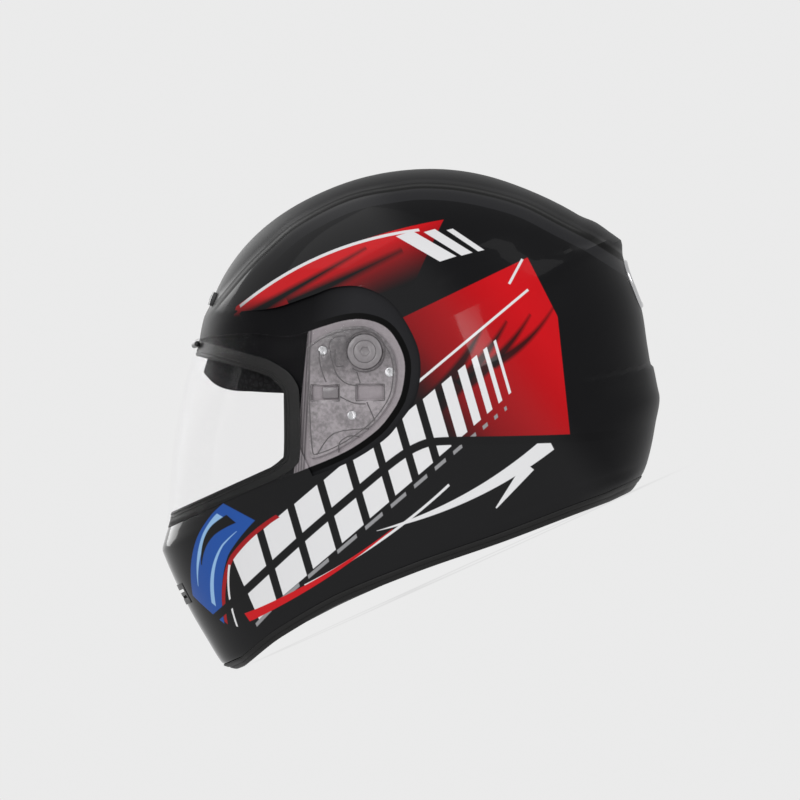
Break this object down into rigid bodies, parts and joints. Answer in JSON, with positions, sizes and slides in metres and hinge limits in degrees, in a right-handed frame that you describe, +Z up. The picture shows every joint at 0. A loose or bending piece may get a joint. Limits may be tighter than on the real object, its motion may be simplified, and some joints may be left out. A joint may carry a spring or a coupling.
{
  "type": "full face motorcycle helmet",
  "caption": "Full face motorcycle helmet: padded hard shell with a clear visor that lifts on side pivots, vents, and a buckled chin strap.",
  "frame": {"origin": "below the middle of the helmet, on the level surface that its bottom rim stands on", "axes": "+X to the wearer's left, +Y to the back of the head, +Z up"},
  "size_m": [0.2538, 0.3497, 0.2583],
  "materials": {
    "shell_paint": "painted composite under gloss lacquer, with satin black areas",
    "rim_rubber": "matte",
    "foam": "moulded foam, matte",
    "liner_fabric": "brushed knit",
    "black_plastic": "satin",
    "grey_plastic": "semi gloss",
    "bright_trim": "bright moulded ring",
    "screw_steel": "zinc plated",
    "webbing": "woven webbing",
    "clear_visor": "clear polycarbonate",
    "red_plastic": "moulded red"
  },
  "bodies": {
    "helmet": {"outer_shell": "shell_paint", "bottom_trim": "rim_rubber", "eyeport_gasket": "rim_rubber", "foam_liner": "foam", "chin_foam": "foam", "comfort_liner": "liner_fabric", "cheek_pad_left": "liner_fabric", "cheek_pad_right": "liner_fabric", "cheek_pad_studs": "black_plastic", "neck_roll": "liner_fabric", "chin_curtain": "liner_fabric", "breath_guard": "black_plastic", "visor_base_left": "grey_plastic", "visor_base_right": "grey_plastic", "pivot_hub_left": "grey_plastic", "pivot_hub_right": "grey_plastic", "base_plate_screws": "screw_steel", "brow_vent_housing": "black_plastic", "chin_vent_grille": "black_plastic", "exhaust_ring": "bright_trim", "exhaust_mesh": "black_plastic", "strap_anchors": "screw_steel", "anchor_rivets": "screw_steel", "chin_strap_left": "webbing", "chin_strap_right": "webbing", "strap_pad_left": "liner_fabric", "strap_pad_right": "liner_fabric", "buckle_housing": "black_plastic", "buckle_pin": "screw_steel", "buckle_spring": "screw_steel"},
    "visor": {"visor_shield": "clear_visor", "visor_ring_left": "grey_plastic", "visor_ring_right": "grey_plastic", "visor_lift_tab": "clear_visor"},
    "release_left": {"release_tab_left": "grey_plastic"},
    "release_right": {"release_tab_right": "grey_plastic"},
    "brow_slider": {"brow_vent_slider": "black_plastic"},
    "chin_shutter": {"chin_vent_shutter": "black_plastic"},
    "lever": {"buckle_lever": "red_plastic"},
    "tongue": {"buckle_tongue": "black_plastic"}
  },
  "joints": [
    {"name": "visor_lift", "type": "hinge", "parent": "helmet", "child": "visor", "pos_m": [0, -0.0031, 0.1515], "axis": [-1, 0, 0], "range_deg": [0, 52]},
    {"name": "release_left_slide", "type": "slide", "parent": "helmet", "child": "release_left", "axis": [-0.2028, -0.8924, 0.4031], "range_m": [0, 0.004], "stiffness_N_per_m": 150},
    {"name": "release_right_slide", "type": "slide", "parent": "helmet", "child": "release_right", "axis": [0.2028, -0.8924, 0.4031], "range_m": [0, 0.004], "stiffness_N_per_m": 150},
    {"name": "brow_vent_slide", "type": "slide", "parent": "helmet", "child": "brow_slider", "axis": [1, 0, 0], "range_m": [0, 0.006]},
    {"name": "chin_vent_slide", "type": "slide", "parent": "helmet", "child": "chin_shutter", "axis": [0, 0, 1], "range_m": [0, 0.0021]},
    {"name": "buckle_lever_hinge", "type": "hinge", "parent": "helmet", "child": "lever", "pos_m": [0.022, -0.04, 0.0218], "axis": [0, -1, 0], "range_deg": [0, 60], "stiffness_Nm_per_rad": 0.05},
    {"name": "buckle_tongue_slide", "type": "slide", "parent": "helmet", "child": "tongue", "axis": [-1, 0, 0], "range_m": [0, 0.02], "deforming": ["chin_strap_right"]}
  ]
}
